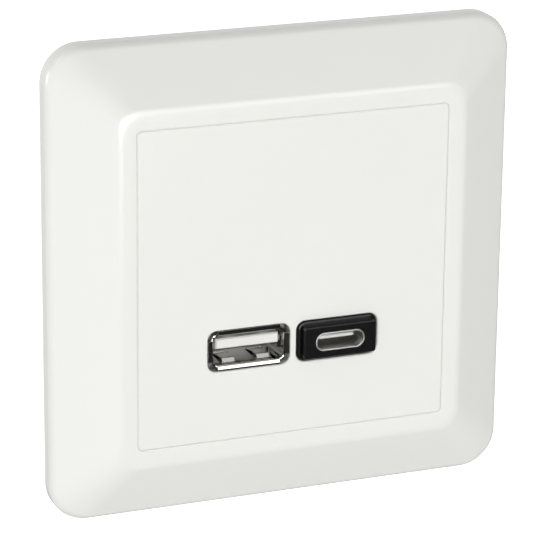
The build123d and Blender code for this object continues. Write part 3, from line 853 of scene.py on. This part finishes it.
def finished_copy(node, name, finish, cuts=(), fold=None):
    """Piece with the form of a CAD node, its faces merged and its edges softened.

    It is cut across at the places given in cuts, and a fold, given as its depth and width, is
    rounded.
    """
    source = frame["nodes"][node].data
    mesh = bpy.data.meshes.new(name)
    corners = [vertex.co for vertex in source.vertices]
    mesh.from_pydata(corners, [], [face.vertices for face in source.polygons])
    mesh.materials.append(finish)
    work = bmesh.new()
    work.from_mesh(mesh)
    bmesh.ops.remove_doubles(work, verts=work.verts, dist=MERGE_DISTANCE)
    bmesh.ops.dissolve_limit(work, angle_limit=FLAT_ANGLE, verts=work.verts, edges=work.edges)
    for place in cuts:
        geometry = [*work.verts, *work.edges, *work.faces]
        bmesh.ops.bisect_plane(work, geom=geometry, plane_co=(place, 0, 0), plane_no=(1, 0, 0))
    if fold:
        round_fold(work, *fold)
    work.to_mesh(mesh)
    work.free()
    piece = bpy.data.objects.new(name, mesh)
    bpy.context.scene.collection.objects.link(piece)
    rounding = EDGE_ROUNDINGS.get(node)
    if rounding:
        bevel = piece.modifiers.new("soft_edges", "BEVEL")
        bevel.width = rounding
        bevel.segments = EDGE_SEGMENTS
        bevel.limit_method = "ANGLE"
        bevel.angle_limit = SHARP_ANGLE
        settled(piece)
    mark_sharp(piece.data, math.pi if rounding else SHARP_ANGLE)
    return weigh_normals(piece)


def fit(piece, node):
    """Sets a piece in the place of the node whose form it has."""
    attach(piece, NODE_BODIES[node])
    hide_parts(node)


def dress(node, name, finish, fold=None):
    """Sets a finished copy of a CAD node in its place."""
    fit(finished_copy(node, name, finish, fold=fold), node)


def paint(node, finish):
    """Gives a CAD node that stays in the scene its finish."""
    mesh = frame["nodes"][node].data
    mesh.materials.clear()
    mesh.materials.append(finish)


def shares(steps):
    """Even shares from 0 to 1."""
    return [i / steps for i in range(steps + 1)]


def inset_by(sides, inset):
    """Sides of a rectangle whose edges are all moved in by the same distance."""
    return tuple(side - 2 * inset for side in sides)


def cover_section(sizes):
    """Closed section of the cover frame, from its foot over the rim to the hollow behind."""
    half = FRAME_SIZE / 2
    opening = PLATE_SIZE / 2 + sizes.plate_gap
    rim = opening + sizes.rim_width
    run = half - rim
    rise = FRAME_HEIGHT - sizes.edge_height
    tilt = math.atan2(rise, run)
    bend = QUARTER_TURN - tilt
    edge_low = sizes.edge_height - sizes.edge_radius * math.tan(bend / 2)
    rim_inset = run + sizes.rim_radius * math.tan(tilt / 2)
    drop = sizes.skin * math.hypot(1, rise / run)
    hollow = sizes.edge_height + sizes.skin * rise / run - drop
    stations = []

    def at(inset, height, radius=None, cut=0.0):
        if radius is None:
            growth = sizes.rim_corner_radius - sizes.corner_radius
            radius = sizes.corner_radius + growth * inset / run
        stations.append((half - inset, half - inset, radius, height, cut))

    at(0, 0)
    for share in shares(sizes.bend_steps):
        angle = bend * share
        inset = sizes.edge_radius * (1 - math.cos(angle))
        at(inset, edge_low + sizes.edge_radius * math.sin(angle))
    for share in shares(sizes.bend_steps):
        angle = tilt * (1 - share)
        height = FRAME_HEIGHT - sizes.rim_radius * (1 - math.cos(angle))
        at(rim_inset - sizes.rim_radius * math.sin(angle), height)
    mouth_corner = sizes.plate_corner_radius + sizes.plate_gap
    inner = half - opening
    for share in shares(sizes.bend_steps):
        angle = QUARTER_TURN * share
        inset = inner - sizes.mouth_radius * (1 - math.sin(angle))
        height = FRAME_HEIGHT - sizes.mouth_radius * (1 - math.cos(angle))
        at(inset, height, mouth_corner + inner - inset)
    at(inner, sizes.ledge_high, mouth_corner)
    ledge = inner + sizes.ledge_reach + sizes.plate_gap
    ledge_corner = mouth_corner / 4
    at(ledge, sizes.ledge_high, ledge_corner)
    at(ledge, sizes.ledge_low, ledge_corner)
    at(inner - sizes.collar, sizes.ledge_low, sizes.rim_corner_radius)
    at(inner - sizes.collar, FRAME_HEIGHT - drop, sizes.rim_corner_radius)
    hollow_corner = sizes.corner_radius - sizes.skin / 2
    at(run, FRAME_HEIGHT - drop, sizes.rim_corner_radius, cut=1.0)
    at(sizes.skin, hollow, hollow_corner, cut=1.0)
    at(sizes.skin, 0, hollow_corner, cut=1.0)
    return stations


def bezel_section(sizes):
    """Closed section of the bezel, from its sleeve over shoulder and boss to the oval bore."""
    stations = []

    def at(sides, radius, height):
        stations.append((sides[0] / 2, sides[1] / 2, radius, height, 0.0))

    def round_edge(sides, corner, top, radius):
        for share in shares(BEZEL_STEPS):
            angle = QUARTER_TURN * share
            inset = radius * (1 - math.cos(angle))
            height = top - radius * (1 - math.sin(angle))
            at(inset_by(sides, inset), corner - inset, height)

    oval = (SHELL_OVAL.x, SHELL_OVAL.z)
    bore = inset_by(oval, -sizes.bore_clearance)
    sleeve = inset_by(oval, -sizes.sleeve_wall)
    flange = (BEZEL_FLANGE.x, BEZEL_FLANGE.z)
    body = (sizes.bezel_width, sizes.bezel_depth)
    boss = inset_by(body, sizes.boss_inset)
    flange_back = sizes.flange_front - sizes.flange_thickness
    at(sleeve, sizes.bezel_corner, BEZEL_BACK)
    at(sleeve, sizes.bezel_corner, flange_back)
    at(flange, sizes.bezel_corner, flange_back)
    at(flange, sizes.bezel_corner, sizes.flange_front)
    at(body, sizes.bezel_corner, sizes.flange_front)
    round_edge(body, sizes.bezel_corner, FRAME_HEIGHT, sizes.shoulder)
    at(boss, sizes.boss_corner, FRAME_HEIGHT)
    round_edge(boss, sizes.boss_corner, BEZEL_FRONT, sizes.boss_edge)
    face_inset = 2 * sizes.boss_edge
    at(inset_by(boss, face_inset), sizes.boss_corner - face_inset, BEZEL_FRONT)
    at(bore, bore[1] / 2, BEZEL_FRONT)
    at(bore, bore[1] / 2, BEZEL_BACK)
    return stations


class SOCKET_OT_cover(Operator):
    """Makes the white cover frame and the centre plate"""

    bl_idname = "socket.cover"
    bl_label = "Cover frame and plate"

    def execute(self, context):
        sizes = context.scene.cover_sizes
        look = context.scene.socket_finish
        white = gloss_white("gloss_white", look.white, look.gloss)
        section = cover_section(sizes)
        cover = skinned("wall_frame", section, (0, 0, 0), sizes.corner_steps, white)
        fit(cover, "cover_frame")
        dress("centre_plate", "face_plate", white)
        return {"FINISHED"}


class SOCKET_OT_larger_port(Operator):
    """Makes the larger port: flared shell with spring fingers, tongue and contacts"""

    bl_idname = "socket.larger_port"
    bl_label = "Larger port"

    def execute(self, context):
        sizes = context.scene.port_sizes
        look = context.scene.socket_finish
        fold = (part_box("usb_a_shell")[0].y + sizes.lip_depth, sizes.lip_bend)
        dress("usb_a_shell", "flared_shell", plated("nickel_shell", look.nickel), fold=fold)
        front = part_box("usb_a_tongue")[0].y
        # The tongue keeps its white at the front and is painted 40 % darker towards the back of the
        # port: painted shade
        painted_shade = tint(look.tongue, -0.4)
        white = insulator_with_painted_shade("white_insulator", painted_shade, look.tongue, front, WHITE_TONGUE_SHADE_DEPTH)
        dress("usb_a_tongue", "white_tongue", white)
        gold = bare_metal("gold_plate", look.gold, roughness=0.24)
        dress("usb_a_contacts", "contact_springs", gold)
        return {"FINISHED"}


class SOCKET_OT_smaller_port(Operator):
    """Makes the smaller port: black bezel, oval shell, tongue and two rows of contact pads"""

    bl_idname = "socket.smaller_port"
    bl_label = "Smaller port"

    def execute(self, context):
        sizes = context.scene.port_sizes
        look = context.scene.socket_finish
        centre = middle("usb_c_shell")
        centre.y = 0
        steps = context.scene.cover_sizes.corner_steps // 2
        black = satin("black_bezel", look.black, roughness=0.2, grain=3000, relief=0.05)
        bezel = skinned("port_bezel", bezel_section(sizes), centre, steps, black)
        fit(bezel, "usb_c_bezel")
        dress("usb_c_shell", "oval_shell", plated("nickel_oval", look.nickel, roughness=0.33))
        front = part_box("usb_c_tongue")[0].y
        grey = RECORD_COLOURS["grey_insulator"]
        # Lighter tip for the tongue's steel edge; the grey further in is painted 60 % darker as
        # painted shade
        painted_shade, edge = tint(grey, -0.6), tint(grey, 0.3)
        insulator = insulator_with_painted_shade("grey_insulator", painted_shade, edge, front, OVAL_TONGUE_SHADE_DEPTH)
        dress("usb_c_tongue", "oval_tongue", insulator)
        pads = span("usb_c_contacts")
        values = {
            "Count": sizes.pads_per_row,
            "Pitch": (pads.x - sizes.pad_width) / (sizes.pads_per_row - 1),
            "Rows": PAD_ROWS,
            "Row Gap": pads.z - PAD_THICKNESS,
            "Block": (sizes.pad_width, pads.y, PAD_THICKNESS),
            "Centre": middle("usb_c_contacts"),
            "Finish": bare_metal("gold_pads", look.pale_gold, roughness=0.22),
        }
        start = bpy.data.meshes.new("contact_pads_start")
        fit(grown("contact_pads", start, rows_tree(), values), "usb_c_contacts")
        return {"FINISHED"}


class SOCKET_OT_mounting(Operator):
    """Makes the support ring and the insert's housing with its screws"""

    bl_idname = "socket.mounting"
    bl_label = "Ring and housing"

    def execute(self, context):
        ring = zinc_steel("galvanised_ring", RECORD_COLOURS["ring_steel"], grain=260)
        dress("support_ring", "fixing_ring", ring)
        plastic = RECORD_COLOURS["grey_plastic"]
        grey = satin("housing_grey", plastic, roughness=0.5, grain=1800, relief=0.2)
        dress("insert_front", "insert_cap", grey)
        dress("rear_housing", "insert_case", grey)
        zinc = zinc_steel("zinc_screw", RECORD_COLOURS["screw_steel"], grain=900)
        dress("housing_screws", "case_screws", zinc)
        return {"FINISHED"}


class SOCKET_OT_terminals(Operator):
    """Makes the wire terminals with their release buttons and clamp springs"""

    bl_idname = "socket.terminals"
    bl_label = "Terminals"

    def execute(self, context):
        white = RECORD_COLOURS["terminal_plastic"]
        block = satin("terminal_white", white, roughness=0.45, grain=1800)
        orange = RECORD_COLOURS["button_plastic"]
        button = satin("button_orange", orange, roughness=0.35, grain=2200, relief=0.1)
        brass = bare_metal("busbar_brass", RECORD_COLOURS["busbar_brass"])
        spring = bare_metal("spring_steel", RECORD_COLOURS["spring_steel"], roughness=0.24)
        for pole in POLES:
            dress(f"terminal_block_{pole}", f"wire_clamp_{pole}", block)
            dress(f"release_button_{pole}", f"release_key_{pole}", button)
            paint(f"busbar_{pole}", brass)
            self.set_spring(context.scene.port_sizes, pole, spring)
        return {"FINISHED"}

    def set_spring(self, sizes, pole, finish):
        """Copy of the spring, cut across between its foot and the button's nose, left where the CAD
        node stood.
        """
        node, button = f"clamp_spring_{pole}", f"release_button_{pole}"
        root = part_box(node)[1].x - 2 * sizes.leaf_thickness
        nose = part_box(button)[0].x + sizes.nose_width
        cuts = [root + (nose - root) * share for share in shares(sizes.bend_cuts)]
        leaf = finished_copy(node, f"clamp_leaf_{pole}", finish, cuts=cuts)
        start, end = middle(node), middle(node)
        start.x, end.x = root, nose
        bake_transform(leaf)
        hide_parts(node)


class SOCKET_OT_electronics(Operator):
    """Finishes the boards, the pins and the parts on the boards, which the housing closes in"""

    bl_idname = "socket.electronics"
    bl_label = "Electronics"

    def execute(self, context):
        sizes = context.scene.port_sizes
        board = laminate("green_board", RECORD_COLOURS["board_laminate"])
        paint("port_board", board)
        paint("power_board", board)
        pins = span("board_pins")
        values = {
            "Count": sizes.pin_count,
            "Pitch": (pins.x - pins.z) / (sizes.pin_count - 1),
            "Rows": 1,
            "Row Gap": 0.0,
            "Block": (pins.z, pins.y, pins.z),
            "Centre": middle("board_pins"),
            "Finish": bare_metal("tinned_pins", RECORD_COLOURS["tinned_metal"]),
        }
        start = bpy.data.meshes.new("pin_row_start")
        fit(grown("pin_row", start, rows_tree(), values), "board_pins")
        for node, (roughness, grain) in BOARD_PARTS.items():
            colour = RECORD_COLOURS[NODE_SLOTS[node]]
            paint(node, satin(node + "_finish", colour, roughness, grain))
        return {"FINISHED"}


def soft_light(name, power, side, place, mirrored):
    """Square light that faces the socket. A fill light isn't mirrored in bright metal."""
    light = bpy.data.lights.new(name, "AREA")
    light.energy = power
    light.size = side
    lamp = bpy.data.objects.new(name, light)
    lamp.location = place
    lamp.rotation_euler = Vector(place).to_track_quat("Z", "Y").to_euler()
    lamp.visible_camera = False
    lamp.visible_glossy = mirrored
    bpy.context.scene.collection.objects.link(lamp)


class SOCKET_OT_stage(Operator):
    """Sets the floor, the lights and the camera"""

    bl_idname = "socket.stage"
    bl_label = "Stage"

    def execute(self, context):
        scene = context.scene
        stage = scene.stage_settings
        self.set_floor(scene, stage)
        self.set_surround(scene, stage)
        for name, (side, place, mirrored) in LIGHTS.items():
            soft_light(name, getattr(stage, name), side, place, mirrored)
        self.set_camera(scene, stage)
        scene.view_settings.view_transform = "Standard"
        return {"FINISHED"}

    def set_floor(self, scene, stage):
        """White floor far below the socket, which lights nothing."""
        level = cad_box[0][2] - stage.floor_drop
        outline = ((-1, -1), (1, -1), (1, 1), (-1, 1))
        corners = [(x * FLOOR_REACH, y * FLOOR_REACH, level) for x, y in outline]
        mesh = bpy.data.meshes.new("floor")
        mesh.from_pydata(corners, [], [(0, 1, 2, 3)])
        floor = bpy.data.objects.new("floor", mesh)
        scene.collection.objects.link(floor)
        finish = Finish("pale_floor", **{"Roughness": 0.9, "Emission Strength": 1.0})
        paper = finish.blend(finish.noise(3), *FLOOR_TONES)
        mesh.materials.append(
            finish.done(**{"Base Color": paper, "Emission Color": (1, 1, 1, 1)})
        )
        floor.visible_diffuse = False
        floor.visible_glossy = False

    def set_surround(self, scene, stage):
        """Surrounding light: bright behind the socket, dim in front of it and below."""
        world = bpy.data.worlds.new("studio")
        world.use_nodes = True
        sheet = NodeSheet(world.node_tree)
        direction = sheet.add("ShaderNodeTexCoord", output="Generated")
        depths = (stage.room, stage.backdrop)
        around = self.graded(sheet, direction, "Y", BACKDROP_RAMP, depths)
        upward = self.graded(sheet, direction, "Z", TABLE_RAMP, (stage.table, 1.0))
        seen = sheet.add("ShaderNodeLightPath", output="Is Camera Ray")
        strength = around * upward * (1 - seen) + seen
        light = {"Color": (1, 1, 1, 1), "Strength": strength}
        surround = sheet.add("ShaderNodeBackground", {}, light)
        sheet.add("ShaderNodeOutputWorld", {}, {"Surface": surround})
        scene.world = world

    def graded(self, sheet, direction, axis, reach, strengths):
        """Strength that changes softly along one axis of a direction."""
        along = sheet.add("ShaderNodeSeparateXYZ", {}, {"Vector": direction}, axis)
        labels = ("Value", "From Min", "From Max", "To Min", "To Max")
        sockets = dict(zip(labels, (along, *reach, *strengths)))
        return sheet.add("ShaderNodeMapRange", {"interpolation_type": "SMOOTHSTEP"}, sockets)

    def set_camera(self, scene, stage):
        """Camera that looks at the target from its distance, azimuth and elevation."""
        turn, lift = stage.azimuth, stage.elevation
        level = math.cos(lift)
        back = Vector((math.sin(turn) * level, -math.cos(turn) * level, math.sin(lift)))
        right = (-back).cross(Vector((0, 0, 1))).normalized()
        up = back.cross(right)
        tilt = Matrix.Rotation(stage.roll, 3, back)
        axes = Matrix((tilt @ right, tilt @ up, back)).transposed()
        place = Vector(stage.target) + back * stage.distance
        data = bpy.data.cameras.new("camera")
        data.lens = stage.lens
        data.sensor_width = SENSOR_WIDTH
        camera = bpy.data.objects.new("camera", data)
        camera.matrix_world = Matrix.Translation(place) @ axes.to_4x4()
        scene.collection.objects.link(camera)
        scene.camera = camera


class SOCKET_PT_sidebar(Panel):
    """Lists the steps of dressing the socket"""

    bl_idname = "SOCKET_PT_sidebar"
    bl_label = "Charging wall socket"
    bl_space_type = "VIEW_3D"
    bl_region_type = "UI"
    bl_category = "Socket"

    def draw(self, context):
        for step in STEPS:
            self.layout.operator(step.bl_idname)


STEPS = (
    SOCKET_OT_cover,
    SOCKET_OT_larger_port,
    SOCKET_OT_smaller_port,
    SOCKET_OT_mounting,
    SOCKET_OT_terminals,
    SOCKET_OT_electronics,
    SOCKET_OT_stage,
)
SETTINGS = {
    "cover_sizes": CoverSizes,
    "port_sizes": PortSizes,
    "socket_finish": SocketFinish,
    "stage_settings": StageSettings,
}
CLASSES = (*SETTINGS.values(), *STEPS, SOCKET_PT_sidebar)


def register():
    """Registers the classes and hangs the settings on the scene."""
    for cls in CLASSES:
        bpy.utils.register_class(cls)
    for name, cls in SETTINGS.items():
        setattr(bpy.types.Scene, name, PointerProperty(type=cls))


def unregister():
    """Takes the settings and the classes away again."""
    for name in SETTINGS:
        delattr(bpy.types.Scene, name)
    for cls in reversed(CLASSES):
        bpy.utils.unregister_class(cls)


def main():
    """Runs every step."""
    register()
    bpy.ops.socket.cover()
    bpy.ops.socket.larger_port()
    bpy.ops.socket.smaller_port()
    bpy.ops.socket.mounting()
    bpy.ops.socket.terminals()
    bpy.ops.socket.electronics()
    bpy.ops.socket.stage()


if __name__ == "__main__":
    main()
